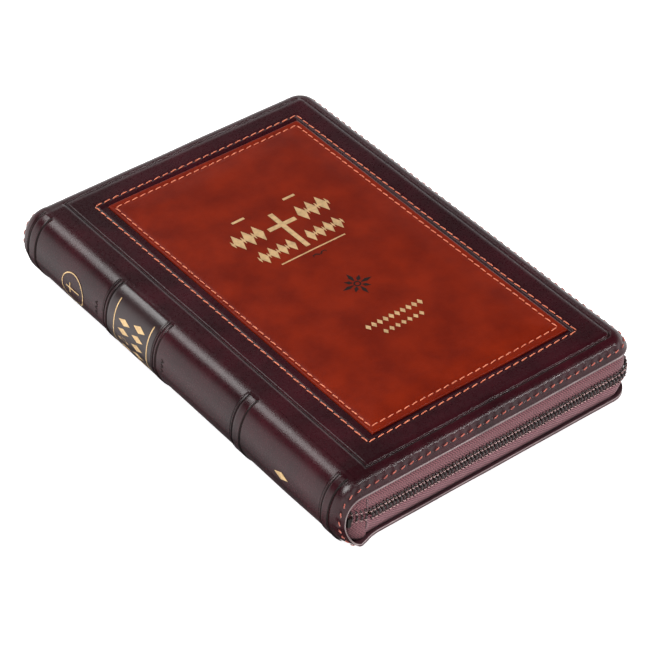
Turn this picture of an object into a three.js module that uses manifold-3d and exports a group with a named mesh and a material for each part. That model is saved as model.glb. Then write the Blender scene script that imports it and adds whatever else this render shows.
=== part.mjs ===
/**
 * A zipped leather bible, closed and lying on its back cover.
 *
 * Millimetres. X runs from the spine to the fore-edge, Y from tail to head, Z up. The origin is on the
 * surface that the book lies on, under the middle of its outline. Both covers and the spine are layers:
 * leather, foam pad, board and lining. The two halves of the zip run along the tail, round the fore-edge and
 * along the head, and meet halfway up the book. Depths are measured inwards from the outer plane of a cover,
 * and insets are measured inwards from the rim of the cover's outline.
 */
import * as THREE from "three";
import { mergeVertices } from "three/addons/utils/BufferGeometryUtils.js";
import Module from "manifold-3d";

const wasm = await Module();
wasm.setup();

// Closed book
const HEIGHT = 215; // tail to head, over the rims
const FORE_X = 75.5; // rim at the fore-edge
const SPINE_X = -75.5; // outermost line of the rounded spine
const JOINT_X = -62; // folding line between spine and covers
const THICK = 34; // over both covers
const CORNER_R = 10; // rim corners at the fore-edge
const CORNER_STEPS = 6;

// Clearances
const GAP = 0.3; // between neighbouring layers
const JOINT_GAP = 0.4; // between spine and cover at a folding line

// Layers of a cover, from outside to inside
const LEATHER = 1.6;
const PAD = 0.8;
const BOARD = 1.6;
const LINING = 0.6;
const PAD_DEPTH = LEATHER + GAP;
const BOARD_DEPTH = PAD_DEPTH + PAD + GAP;
const LINING_DEPTH = BOARD_DEPTH + BOARD + GAP;
const CONTENTS_DEPTH = LINING_DEPTH + LINING + GAP;

// Rim of a cover: a padded border outside the pressed groove, falling to a thin flange
const FLANGE = { drop: 6.2, thick: 0.8 };
const SEAM = { inset: 1.5, drop: 3.8, thick: 1.0 }; // where the rim is sewn
const SLOPE = { inset: 3.0, drop: 1.7, thick: 1.4 };
const CREST = { inset: 4.8, drop: 0.7 };
const GROOVE = { inset: 7.3, halfWidth: 0.4, drop: 1.4, shoulder: 0.9, thinned: 0.2 };
const BORDER_WIDTH = 9.5;
const BACK_FALL = 0.77; // fall of the back cover's rim, as a share of the front's
const LAYER_CORNER = 1; // least corner radius of an inner layer
const BOARD_INSET = 9.8;
const LINING_INSET = 3.9;

// Tan panel, in its recess in the front leather
const RECESS = { x0: -46.6, x1: 57.2, y: 89.4, depth: 0.9 };
const PANEL = { x0: -43.3, x1: 56.1, y: 87.4 };

// Spine: an elliptical shell, smaller at its two ends
const SPINE_FLAT = 1.5; // flat strip next to each folding line
const SPINE_LEATHER = 1.0;
const SPINE_SHRINK = 0.56; // how far the back moves in for each unit that the ends drop
const SPINE_FLATTEN = 1.35; // above 1, the spine's back half is flatter than an ellipse
const SPINE_STEPS = 14;
const SPINE_CREST = { inset: 4.4, drop: 0.5 };
const SPINE_RIM_WIDTH = 5.6;
const HUB = 0.6; // thickness of a raised band's strip
const HUB_SWEEP = 64; // degrees each side of the middle
const STIFFENER = 1.0;
const STIFFENER_SWEEP = 58;
const HUBS = {
  band_head: { y: 97.4, width: 6 },
  band_upper: { y: 44.2, width: 2.6 },
  band_title: { y: 10.3, width: 2.6 },
  band_lower: { y: -43.5, width: 6 },
  band_tail: { y: -98.8, width: 5 },
};

// Zip
const TAPE = 0.7;
const TAPE_INSET = 0.95; // upright part of the tape, at the coil
const TAPE_ROUTE = [[5.6, 3.1], [3.6, 4.0], [2.5, 5.8], [1.8, 7.8], [TAPE_INSET, 11.0]]; // inset, depth
const TAPE_EDGE = 1.3; // from the zip's middle line to the edge of each tape
const COIL = { width: 2.75, thick: 1.5, gap: 0.3 };
const COIL_OUT = TAPE_INSET - TAPE / 2 - GAP; // inset of the coil's inner face
const TAPE_START = JOINT_X + 1;

// Slider, centred on this X at rest
const SLIDER_X = -52;
const SLIDER = { length: 12, half: 4.6, plate: 1.1, taper: 0.86, slack: 0.1, rooted: 0.3 };
const POST = { x0: -5, x1: -2.6, half: 1.0 };
const ARCH = { reach: 3.7, leg: 1.0, half: 1.0, clear: 2.1, top: 0.8 };
const PULL = { thick: 1.2, arm: 1.3, half: 3.1, hole0: 0.6, hole1: 4.6, length: 25, endHalf: 3.9 };
const STOP = { width: 1.6, height: 2.2, thick: 1.2, x: -59.8 };

// Contents
const BLOCK_INSET = 5.5; // from the ends of the rims to the ends of the pages
const BLOCK_FORE = 70; // fore-edge of the pages
const BLOCK_SPINE = -62; // gutter of the pages
const BLOCK_ROUND = 4.8; // how far the back of the block is rounded out
const BLOCK_STEPS = 8;
const LEAF = 0.3;
const SECTION = 1.8; // first section of pages
const MULL = { thick: 0.5, inset: 6 }; // cloth on the back of the block, and its distance from the ends
const HEADBAND = { thick: 1.5, deep: 1.8 }; // along Y, and into the block

const MIDDLE = THICK / 2;
const HALF_HEIGHT = HEIGHT / 2;
const BLOCK_END = HALF_HEIGHT - BLOCK_INSET; // half the height of the pages

function material(color, roughness, metalness = 0) {
  return new THREE.MeshStandardMaterial({ color, roughness, metalness });
}

const BURGUNDY = material(0x3a1a20, 0.4);
const TAN = material(0x8f3014, 0.45);
const FOAM = material(0xd8cfc2, 0.9);
const GREYBOARD = material(0x8d8578, 0.9);
const LINING_PAPER = material(0x2c1519, 0.6);
const TAPE_CLOTH = material(0x7a4a55, 0.85);
const NYLON = material(0x1c1214, 0.35);
const GUNMETAL = material(0x5a5552, 0.35, 1);
const PAGES = material(0xe9e2cf, 0.8);
const ENDPAPER = material(0xf2ecdc, 0.8);
const CLOTH = material(0xe4ddcd, 0.9);

/** A closed solid from points and triangles, its faces turned outwards. */
function closedSolid(points, triangles) {
  let volume = 0;
  for (const [a, b, c] of triangles) {
    volume += points[a].dot(new THREE.Vector3().crossVectors(points[b], points[c]));
  }
  const faces = volume > 0 ? triangles : triangles.map(([a, b, c]) => [a, c, b]);
  const geometry = new THREE.BufferGeometry();
  geometry.setAttribute(
    "position",
    new THREE.Float32BufferAttribute(points.flatMap((p) => [p.x, p.y, p.z]), 3),
  );
  geometry.setIndex(faces.flat());
  return geometry;
}

/** Joins equal rings of points into a solid, and closes both ends with the section's triangles. */
function loft(rings, section) {
  const count = section.length;
  const turn = THREE.ShapeUtils.isClockWise(section) ? ([a, b, c]) => [a, c, b] : (face) => face;
  const caps = THREE.ShapeUtils.triangulateShape(section, []).map(turn);
  const triangles = [];
  for (let ring = 0; ring + 1 < rings.length; ring++) {
    for (let i = 0; i < count; i++) {
      const a = ring * count + i;
      const b = ring * count + ((i + 1) % count);
      triangles.push([a, b, b + count], [a, b + count, a + count]);
    }
  }
  const last = (rings.length - 1) * count;
  for (const [a, b, c] of caps) {
    triangles.push([a, c, b], [last + a, last + b, last + c]);
  }
  return closedSolid(rings.flat(), triangles);
}

/** The rim's route at an inset: along the tail, round the fore-edge and along the head. */
function rimRoute(inset, startX) {
  const x = FORE_X - inset;
  const y = HALF_HEIGHT - inset;
  const r = Math.max(CORNER_R - inset, GAP);
  const route = [new THREE.Vector2(startX, -y)];
  for (const [cy, from] of [[-y + r, -90], [y - r, 0]]) {
    for (let i = 0; i <= CORNER_STEPS; i++) {
      const angle = THREE.MathUtils.degToRad(from + (90 * i) / CORNER_STEPS);
      route.push(new THREE.Vector2(x - r + r * Math.cos(angle), cy + r * Math.sin(angle)));
    }
  }
  route.push(new THREE.Vector2(startX, y));
  return route;
}

/** Height of a depth on the front cover (upper) or on the back cover. */
function heightOf(depth, upper) {
  return upper ? THICK - depth : depth;
}

/** A strip that follows the rim, with its section given as insets and depths. */
function rimStrip(section, startX, upper) {
  const routes = section.map(([inset]) => rimRoute(inset, startX));
  const rings = routes[0].map((_, step) =>
    section.map(([, depth], i) => {
      const p = routes[i][step];
      return new THREE.Vector3(p.x, p.y, heightOf(depth, upper));
    }),
  );
  return loft(rings, section.map(([inset, depth]) => new THREE.Vector2(inset, depth)));
}

/** The outer leather of a cover: a tray whose border falls to the sewn flange on three sides. */
function coverLeather(upper) {
  const profile = [
    [0, FLANGE.drop, FLANGE.thick],
    [SEAM.inset, SEAM.drop, SEAM.thick],
    [SLOPE.inset, SLOPE.drop, SLOPE.thick],
    [CREST.inset, CREST.drop, LEATHER],
    [GROOVE.inset - GROOVE.halfWidth, GROOVE.shoulder, LEATHER - GROOVE.thinned],
    [GROOVE.inset, GROOVE.drop, LEATHER / 2],
    [GROOVE.inset + GROOVE.halfWidth, GROOVE.shoulder, LEATHER - GROOVE.thinned],
    [BORDER_WIDTH, 0, LEATHER],
  ];
  const fall = upper ? 1 : BACK_FALL;
  const startX = JOINT_X + JOINT_GAP / 2;
  const routes = profile.map(([inset]) => rimRoute(inset, startX));
  const count = routes[0].length;
  const rows = profile.length;
  const points = [];
  for (const under of [0, 1]) {
    profile.forEach(([, depth, thick], row) => {
      const z = heightOf(depth * fall + under * thick, upper);
      points.push(...routes[row].map((p) => new THREE.Vector3(p.x, p.y, z)));
    });
  }
  const index = (under, row, step) => (under * rows + row) * count + step;
  const triangles = [];
  const quad = (a, b, c, d) => triangles.push([a, b, c], [a, c, d]);
  for (let row = 0; row + 1 < rows; row++) {
    for (let step = 0; step + 1 < count; step++) {
      const top = [
        index(0, row, step), index(0, row, step + 1), index(0, row + 1, step + 1), index(0, row + 1, step),
      ];
      quad(...top);
      quad(...top.map((i) => i + rows * count).reverse());
    }
    quad(index(0, row, 0), index(0, row + 1, 0), index(1, row + 1, 0), index(1, row, 0));
    const end = count - 1;
    quad(index(0, row + 1, end), index(0, row, end), index(1, row, end), index(1, row + 1, end));
  }
  for (let step = 0; step + 1 < count; step++) {
    quad(index(0, 0, step + 1), index(0, 0, step), index(1, 0, step), index(1, 0, step + 1));
  }
  const inner = rows - 1;
  quad(index(0, inner, 0), index(0, inner, count - 1), index(1, inner, count - 1), index(1, inner, 0));
  for (const [a, b, c] of THREE.ShapeUtils.triangulateShape(routes[inner], [])) {
    triangles.push([index(0, inner, a), index(0, inner, b), index(0, inner, c)]);
    triangles.push([index(1, inner, a), index(1, inner, c), index(1, inner, b)]);
  }
  return closedSolid(points, triangles);
}

/** A flat sheet between two heights, with its two fore-edge corners rounded. */
function sheet(x0, x1, halfY, z0, z1, corner = 0) {
  const shape = new THREE.Shape();
  shape.moveTo(x0, -halfY);
  shape.lineTo(x1 - corner, -halfY);
  if (corner > 0) shape.absarc(x1 - corner, -halfY + corner, corner, -Math.PI / 2, 0, false);
  shape.lineTo(x1, halfY - corner);
  if (corner > 0) shape.absarc(x1 - corner, halfY - corner, corner, 0, Math.PI / 2, false);
  shape.lineTo(x0, halfY);
  shape.closePath();
  const geometry = new THREE.ExtrudeGeometry(shape, {
    depth: z1 - z0, bevelEnabled: false, curveSegments: CORNER_STEPS,
  });
  return geometry.translate(0, 0, z0);
}

/** One layer inside a cover, between two depths. */
function coverLayer(depth, thick, inset, upper) {
  const heights = [heightOf(depth, upper), heightOf(depth + thick, upper)].sort((a, b) => a - b);
  const x0 = JOINT_X + (inset > BORDER_WIDTH ? GROOVE.inset : JOINT_GAP);
  return sheet(x0, FORE_X - inset, HALF_HEIGHT - inset, ...heights, Math.max(CORNER_R - inset, LAYER_CORNER));
}

/** A solid for joining and cutting, from a closed geometry. */
function toSolid(geometry) {
  const bare = geometry.clone();
  bare.deleteAttribute("normal");
  bare.deleteAttribute("uv");
  const merged = mergeVertices(bare);
  return new wasm.Manifold(
    new wasm.Mesh({
      numProp: 3,
      vertProperties: new Float32Array(merged.attributes.position.array),
      triVerts: new Uint32Array(merged.index.array),
    }),
  );
}

function fromSolid(solid) {
  const mesh = solid.getMesh();
  const geometry = new THREE.BufferGeometry();
  geometry.setAttribute("position", new THREE.BufferAttribute(mesh.vertProperties, 3));
  geometry.setIndex(new THREE.BufferAttribute(mesh.triVerts, 1));
  return geometry;
}

function box(x0, x1, y0, y1, z0, z1) {
  return new THREE.BoxGeometry(x1 - x0, y1 - y0, z1 - z0).translate(
    (x0 + x1) / 2, (y0 + y1) / 2, (z0 + z1) / 2,
  );
}

function joined(...geometries) {
  return geometries.map(toSolid).reduce((sum, next) => sum.add(next));
}

/** Front leather: the cover tray with a shallow recess for the tan panel. */
function frontLeather() {
  const recess = box(
    RECESS.x0, RECESS.x1, -RECESS.y, RECESS.y, THICK - RECESS.depth, THICK + LEATHER,
  );
  return fromSolid(toSolid(coverLeather(true)).subtract(toSolid(recess)));
}

/** The drop of the spine's leather at an inset from its end. */
function spineDrop(inset) {
  const rows = [
    [0, FLANGE.drop], [SEAM.inset, SEAM.drop], [SLOPE.inset, SLOPE.drop],
    [SPINE_CREST.inset, SPINE_CREST.drop], [SPINE_RIM_WIDTH, 0],
  ];
  for (let i = 0; i + 1 < rows.length; i++) {
    const [a, dropA] = rows[i];
    const [b, dropB] = rows[i + 1];
    if (inset <= b) return dropA + ((dropB - dropA) * (inset - a)) / (b - a);
  }
  return 0;
}

/** Points round the spine, from front to back, moved in by an amount. The back half is flatter. */
function spineArc(inward, sweep, drop = 0) {
  const centre = JOINT_X - SPINE_FLAT;
  const a = centre - SPINE_X - drop * SPINE_SHRINK - inward;
  const points = [];
  for (let i = 0; i <= SPINE_STEPS; i++) {
    const angle = THREE.MathUtils.degToRad(sweep - (2 * sweep * i) / SPINE_STEPS);
    const towardsFront = angle > 0;
    const power = towardsFront ? 1 : SPINE_FLATTEN;
    const b = MIDDLE - drop * (towardsFront ? 1 : BACK_FALL) - inward;
    const out = Math.max(Math.cos(angle), 0) ** power;
    const up = Math.sign(angle) * Math.abs(Math.sin(angle)) ** power;
    points.push(new THREE.Vector2(centre - a * out, MIDDLE + b * up));
  }
  return points;
}

/** The spine's leather: a shell that narrows towards the head and the tail. */
function spineLeather() {
  const insets = [0, SEAM.inset, SLOPE.inset, SPINE_CREST.inset, SPINE_RIM_WIDTH];
  const stations = [
    ...insets.map((inset) => [-HALF_HEIGHT + inset, inset]),
    ...insets.map((inset) => [HALF_HEIGHT - inset, inset]).reverse(),
  ];
  const edge = JOINT_X - JOINT_GAP / 2;
  const sections = stations.map(([, inset]) => {
    const drop = spineDrop(inset);
    const outer = spineArc(0, 90, drop);
    const inner = spineArc(SPINE_LEATHER, 90, drop).reverse();
    return [
      new THREE.Vector2(edge, outer[0].y), ...outer, new THREE.Vector2(edge, outer.at(-1).y),
      new THREE.Vector2(edge, inner[0].y), ...inner, new THREE.Vector2(edge, inner.at(-1).y),
    ];
  });
  const rings = stations.map(([y], i) => sections[i].map((p) => new THREE.Vector3(p.x, y, p.y)));
  return loft(rings, sections[0]);
}

/** A strip of even thickness inside the spine's shell, between two places along Y. */
function spineStrip(inward, thick, sweep, y0, y1) {
  const section = [...spineArc(inward, sweep), ...spineArc(inward + thick, sweep).reverse()];
  return loft([y0, y1].map((y) => section.map((p) => new THREE.Vector3(p.x, y, p.y))), section);
}

/** One half of the zip's tape: from the seam over the edge of the lining and down to the coil. */
function zipTape(upper) {
  const route = [...TAPE_ROUTE, [TAPE_INSET, MIDDLE - TAPE_EDGE]].map((p) => new THREE.Vector2(...p));
  const side = (sign) =>
    route.map((p, i) => {
      const before = route[Math.max(i - 1, 0)];
      const after = route[Math.min(i + 1, route.length - 1)];
      const along = after.clone().sub(before).normalize();
      return [p.x - sign * along.y * (TAPE / 2), p.y + sign * along.x * (TAPE / 2)];
    });
  return rimStrip([...side(1), ...side(-1).reverse()], TAPE_START, upper);
}

/** One half of the zip's coil, as a smooth strip with trimmed edges. It starts clear of the slider's post. */
function zipCoil(upper) {
  const near = MIDDLE - COIL.gap / 2;
  const far = near - COIL.width;
  const outside = COIL_OUT - COIL.thick;
  const trim = COIL.thick / 4;
  const strip = rimStrip(
    [
      [COIL_OUT, far], [COIL_OUT, near], [outside + trim, near], [outside, near - trim],
      [outside, far + trim], [outside + trim, far],
    ],
    TAPE_START,
    upper,
  );
  const postEnd = SLIDER_X + POST.x1 + GAP;
  const clearance = box(
    TAPE_START - GAP, postEnd, HALF_HEIGHT - CORNER_R, HALF_HEIGHT + CORNER_R, 0, THICK,
  );
  return fromSolid(toSolid(strip).subtract(toSolid(clearance)));
}

const CHAIN_Y = HALF_HEIGHT - TAPE_INSET; // middle of the tape along the head
const COIL_FACE = HALF_HEIGHT - COIL_OUT + COIL.thick; // outside of the coil along the head
const PLATE_Y = COIL_FACE + GAP; // inner face of the slider's outer plate
const PIVOT_Y = PLATE_Y + SLIDER.plate + ARCH.clear / 2;

/** The slider: two plates, the post that parts the coils, lips over the coils and an arch for the pull. */
function zipSlider() {
  const half = SLIDER.length / 2;
  const tapered = SLIDER.half * SLIDER.taper;
  const inside = CHAIN_Y - TAPE / 2 - GAP - SLIDER.slack;
  const outside = PLATE_Y + SLIDER.plate;
  const plateShape = new THREE.Shape([
    new THREE.Vector2(-half, -SLIDER.half), new THREE.Vector2(half, -tapered),
    new THREE.Vector2(half, tapered), new THREE.Vector2(-half, SLIDER.half),
  ]);
  const plate = (y) =>
    new THREE.ExtrudeGeometry(plateShape, { depth: SLIDER.plate, bevelEnabled: false })
      .rotateX(Math.PI / 2)
      .translate(0, y + SLIDER.plate, 0);
  const lipFrom = CHAIN_Y + TAPE / 2 + GAP + SLIDER.slack;
  const lip = (sign) => {
    const z = [sign * (COIL.width + COIL.gap + GAP), sign * tapered].sort((a, b) => a - b);
    return box(-half, half, lipFrom, PLATE_Y + SLIDER.plate / 2, ...z);
  };
  const archTop = outside + ARCH.clear;
  const foot = (sign) => {
    const x = [sign * ARCH.reach, sign * (ARCH.reach - ARCH.leg)].sort((a, b) => a - b);
    return box(...x, outside - SLIDER.rooted, archTop + ARCH.top, -ARCH.half, ARCH.half);
  };
  return joined(
    plate(PLATE_Y), plate(inside - SLIDER.plate), lip(1), lip(-1),
    box(
      POST.x0, POST.x1, inside - SLIDER.rooted, PLATE_Y + SLIDER.rooted, -POST.half, POST.half,
    ),
    foot(1), foot(-1),
    box(-ARCH.reach, ARCH.reach, archTop, archTop + ARCH.top, -ARCH.half, ARCH.half),
  );
}

/** The pull tab, its crossbar on the Z axis and its tongue along X. */
function zipPull() {
  const bar = PULL.thick / 2;
  const outline = new THREE.Shape();
  outline.moveTo(-bar, -PULL.half);
  outline.lineTo(PULL.hole1, -PULL.half);
  outline.lineTo(PULL.length - PULL.endHalf, -PULL.endHalf);
  outline.absarc(PULL.length - PULL.endHalf, 0, PULL.endHalf, -Math.PI / 2, Math.PI / 2, false);
  outline.lineTo(PULL.hole1, PULL.half);
  outline.lineTo(-bar, PULL.half);
  outline.closePath();
  const armIn = PULL.half - PULL.arm;
  outline.holes.push(
    new THREE.Path([
      new THREE.Vector2(PULL.hole0, -armIn), new THREE.Vector2(PULL.hole0, armIn),
      new THREE.Vector2(PULL.hole1, armIn), new THREE.Vector2(PULL.hole1, -armIn),
    ]),
  );
  return new THREE.ExtrudeGeometry(outline, { depth: PULL.thick, bevelEnabled: false, curveSegments: 8 })
    .rotateX(Math.PI / 2)
    .translate(0, PULL.thick / 2, 0);
}

/** A small block that ends a row of coil, on the outside of the upper or the lower tape. */
function zipStop(x, y, sign) {
  const near = MIDDLE + sign * TAPE_EDGE;
  const z = [near, near + sign * STOP.height].sort((a, b) => a - b);
  return box(x - STOP.width / 2, x + STOP.width / 2, y, y + STOP.thick, ...z);
}

// Zip end inside the spine, at the tail
const TAIL_END = { x0: -70.5, x1: -62.6, y: -HALF_HEIGHT + 2.1, half: 5, margin: 0.4, space: 1 };

function tailTape() {
  const { x0, x1, y, half } = TAIL_END;
  return box(x0, x1, y, y + TAPE, MIDDLE - half, MIDDLE + half);
}

function tailCoil() {
  const { x0, x1, y, space } = TAIL_END;
  const face = y - GAP;
  return box(
    x0 + STOP.width + space, x1, face - COIL.thick, face, MIDDLE - COIL.width, MIDDLE + COIL.width,
  );
}

function tailStop() {
  const { x0, y, margin } = TAIL_END;
  const face = y - GAP;
  return box(
    x0 + margin, x0 + margin + STOP.width, face - STOP.thick, face,
    MIDDLE - STOP.height, MIDDLE + STOP.height,
  );
}

// Heights of the contents, from the back cover up
const BACK_LEAF_Z = CONTENTS_DEPTH;
const BLOCK_Z0 = BACK_LEAF_Z + LEAF + GAP;
const FLYLEAF_Z1 = THICK - CONTENTS_DEPTH;
const SECTION_Z1 = FLYLEAF_Z1 - LEAF - GAP;
const SECTION_Z0 = SECTION_Z1 - SECTION;
const BLOCK_Z1 = SECTION_Z0 - GAP;

/** The rounded back of the text block, moved out by an amount, from bottom to top. */
function blockBack(out) {
  const middle = (BLOCK_Z0 + BLOCK_Z1) / 2;
  const half = (BLOCK_Z1 - BLOCK_Z0) / 2;
  const points = [];
  for (let i = 0; i <= BLOCK_STEPS; i++) {
    const angle = -Math.PI / 2 + (Math.PI * i) / BLOCK_STEPS;
    const x = BLOCK_SPINE - (BLOCK_ROUND + out) * Math.cos(angle);
    points.push(new THREE.Vector2(x, middle + half * Math.sin(angle)));
  }
  return points;
}

function alongY(section, y0, y1) {
  return loft([y0, y1].map((y) => section.map((p) => new THREE.Vector3(p.x, y, p.y))), section);
}

function textBlock() {
  const section = [
    ...blockBack(0), new THREE.Vector2(BLOCK_FORE, BLOCK_Z1), new THREE.Vector2(BLOCK_FORE, BLOCK_Z0),
  ];
  return alongY(section, -BLOCK_END, BLOCK_END);
}

/** A band that follows the rounded back of the text block, from one thickness out to another. */
function backBand(out0, out1, y0, y1) {
  const section = [...blockBack(out0).slice(1, -1), ...blockBack(out1).slice(1, -1).reverse()];
  return alongY(section, y0, y1);
}

function headBand(sign) {
  const y = [sign * (BLOCK_END + GAP), sign * (BLOCK_END + GAP + HEADBAND.thick)].sort((a, b) => a - b);
  return backBand(-HEADBAND.deep, 0, ...y);
}

const book = new THREE.Group();

function add(name, geometry, surface, parent = book) {
  const mesh = new THREE.Mesh(geometry, surface);
  mesh.name = name;
  parent.add(mesh);
  return mesh;
}

for (const upper of [true, false]) {
  const side = upper ? "front" : "back";
  add(`${side}_leather`, upper ? frontLeather() : coverLeather(false), BURGUNDY);
  add(`${side}_pad`, coverLayer(PAD_DEPTH, PAD, BOARD_INSET, upper), FOAM);
  add(`${side}_board`, coverLayer(BOARD_DEPTH, BOARD, BOARD_INSET, upper), GREYBOARD);
  add(`${side}_lining`, coverLayer(LINING_DEPTH, LINING, LINING_INSET, upper), LINING_PAPER);
  add(`${side}_zip_tape`, zipTape(upper), TAPE_CLOTH);
  add(`${side}_zip_coil`, zipCoil(upper), NYLON);
  const stop = zipStop(STOP.x, CHAIN_Y + TAPE / 2 + GAP, upper ? 1 : -1);
  add(`${side}_zip_stop`, stop, GUNMETAL);
}
add(
  "tan_panel",
  sheet(PANEL.x0, PANEL.x1, PANEL.y, THICK - RECESS.depth + GAP, THICK),
  TAN,
);

add("spine_leather", spineLeather(), BURGUNDY);
for (const [name, { y, width }] of Object.entries(HUBS)) {
  const strip = spineStrip(SPINE_LEATHER + GAP, HUB, HUB_SWEEP, y - width / 2, y + width / 2);
  add(name, strip, GREYBOARD);
}
add(
  "spine_stiffener",
  spineStrip(
    SPINE_LEATHER + HUB + 2 * GAP, STIFFENER, STIFFENER_SWEEP, -HALF_HEIGHT + BOARD_INSET,
    HALF_HEIGHT - BOARD_INSET,
  ),
  GREYBOARD,
);
add("zip_tail_tape", tailTape(), TAPE_CLOTH);
add("zip_tail_coil", tailCoil(), NYLON);
add("zip_tail_stop", tailStop(), GUNMETAL);

add("text_block", textBlock(), PAGES);
add("first_section", sheet(BLOCK_SPINE + GAP, BLOCK_FORE, BLOCK_END, SECTION_Z0, SECTION_Z1), PAGES);
add("flyleaf", sheet(BLOCK_SPINE + GAP, BLOCK_FORE, BLOCK_END, FLYLEAF_Z1 - LEAF, FLYLEAF_Z1), ENDPAPER);
add(
  "back_endpaper",
  sheet(BLOCK_SPINE, BLOCK_FORE, BLOCK_END, BACK_LEAF_Z, BACK_LEAF_Z + LEAF),
  ENDPAPER,
);
const mullEnd = BLOCK_END - MULL.inset;
add("spine_cloth", backBand(GAP, GAP + MULL.thick, -mullEnd, mullEnd), CLOTH);
add("head_band", headBand(1), CLOTH);
add("tail_band", headBand(-1), CLOTH);

const zip = new THREE.Group();
zip.position.set(SLIDER_X, 0, MIDDLE);
book.add(zip);
add("zip_slider", fromSolid(zipSlider()), GUNMETAL, zip);
const pull = add("zip_pull", zipPull(), GUNMETAL, zip);
pull.position.set(0, PIVOT_Y, 0);

export default book;
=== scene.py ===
"""The looks of a zipped leather bible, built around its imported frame.

Shapes are worked out in millimetres, in the frame's axes (X spine to fore-edge, Y tail to head, Z up), and
become metres when a mesh is made. An inset is measured inwards from the rim of the closed book, and a drop
is measured from the outer plane of a cover.
"""
import math

import bmesh
import bpy
import numpy as np
from mathutils import Matrix, Vector


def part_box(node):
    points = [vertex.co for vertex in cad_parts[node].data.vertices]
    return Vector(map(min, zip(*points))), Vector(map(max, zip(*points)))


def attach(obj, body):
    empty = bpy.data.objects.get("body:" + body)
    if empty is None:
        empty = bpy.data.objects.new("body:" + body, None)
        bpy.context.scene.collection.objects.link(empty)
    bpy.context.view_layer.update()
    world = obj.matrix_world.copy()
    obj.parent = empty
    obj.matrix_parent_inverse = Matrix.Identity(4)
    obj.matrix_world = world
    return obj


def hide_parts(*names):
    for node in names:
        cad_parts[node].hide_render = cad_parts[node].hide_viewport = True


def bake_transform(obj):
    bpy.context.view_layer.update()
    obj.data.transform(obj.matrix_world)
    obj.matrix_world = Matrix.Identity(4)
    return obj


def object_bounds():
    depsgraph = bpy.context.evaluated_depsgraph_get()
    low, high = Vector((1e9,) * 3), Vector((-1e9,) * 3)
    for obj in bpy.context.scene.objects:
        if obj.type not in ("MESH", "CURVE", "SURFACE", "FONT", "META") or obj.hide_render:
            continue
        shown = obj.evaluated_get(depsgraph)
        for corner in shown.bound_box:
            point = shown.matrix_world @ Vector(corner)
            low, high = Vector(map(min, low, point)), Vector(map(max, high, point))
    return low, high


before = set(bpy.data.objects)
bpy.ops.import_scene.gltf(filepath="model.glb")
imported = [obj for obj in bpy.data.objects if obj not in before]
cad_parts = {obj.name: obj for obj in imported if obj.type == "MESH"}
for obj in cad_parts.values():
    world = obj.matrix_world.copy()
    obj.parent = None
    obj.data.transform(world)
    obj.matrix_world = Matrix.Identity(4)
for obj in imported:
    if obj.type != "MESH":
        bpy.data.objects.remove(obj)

MM = 0.001
cad_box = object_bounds()

# Closed book
HALF_HEIGHT = 107.5
FORE_X = 75.5
SPINE_X = -75.5
CORNER_R = 10.0
THICK = (cad_box[1][2] - cad_box[0][2]) / MM
MIDDLE = THICK / 2

# Spine: the front half of its section is fuller than an ellipse, and the back half is flatter
SPINE_CENTRE = -63.5
SPINE_DEEP = SPINE_CENTRE - SPINE_X
SPINE_SHRINK = 0.56
SPINE_FULL = 0.85
SPINE_FLAT = 1.35
SPINE_SEAM = math.radians(-72)
SPINE_ARC = 13.0  # of rim to each radian of the section

# The back rim falls less beside the spine: by how much, from which X and over what reach
BACK_RIM_FALL = 4.8
BACK_DIP = {"deep": 2.9, "start": -57.0, "reach": 7.0}

# Lines on the front cover
GROOVE = {"x0": -56.2, "x1": 68.0, "y": 100.2, "corner": 2.7, "deep": 0.7, "half": 0.7, "wall": 0.4}
RECESS = {"x0": -46.6, "x1": 57.2, "y": 89.4, "deep": 0.9}
PANEL = {"x0": -43.3, "x1": 56.1, "y": 87.4, "corner": 1.2}
OUTER_SEAM = {"x0": -47.7, "x1": 58.1, "y": 90.4}
INNER_SEAM = {"x0": -41.5, "x1": 53.4, "y": 84.3}
SHOULDER_X = -66.2

# Sewing: the seam of the rim runs along the fore-edge and round its two corners in 53 stitches
RIM_SEAM = 1.5
RIM_PITCH = (2 * (HALF_HEIGHT - CORNER_R) + math.pi * (CORNER_R - RIM_SEAM)) / 53
OUTER_PITCH = 4.2
INNER_PITCH = 3.9
OUTER_STITCH = {"long": 3.2, "wide": 0.24, "high": 0.22}
INNER_STITCH = {"long": 2.9, "wide": 0.24, "high": 0.2}
RIM_STITCH = {"long": 2.0, "wide": 0.26, "high": 0.22}
RIM_SLANT = 0.3
SEAM_WIDTH = 0.6  # of the dent that a seam pulls into the leather
PUCKER = {"inset": 2.0, "wide": 0.55, "deep": 0.34, "lean": 0.22}

# Raised bands of the spine: the pressed lines of each, from head to tail
BANDS = {
    "head": (100.4, 99.2, 94.5),
    "upper": (45.5, 44.5, 42.9),
    "title": (11.7, 10.6, 9.0),
    "lower": (-40.5, -41.7, -46.5),
    "tail": (-96.3, -97.5, -101.4),
}
LABEL = (11.7, 42.9)
BAND_RISE = 0.4
BAND_LINE = {"deep": 0.4, "wide": 0.24}
LABEL_RISE = 0.2

# Widths of the tooled lines
GROOVE_LINE = 0.42
BAND_STROKE = 0.5
TIP = 0.02  # of a lozenge

# Zip
TAPE = 0.7
TAPE_INSET = 0.95
TAPE_ROUTE = ((5.6, 3.1), (3.6, 4.0), (2.5, 5.8), (1.8, 7.8), (TAPE_INSET, 11.0))
TAPE_EDGE = 1.3
TAPE_START = -61.0
TOOTH_PITCH = 1.7
SLIDER_BACK = -56.0

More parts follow.
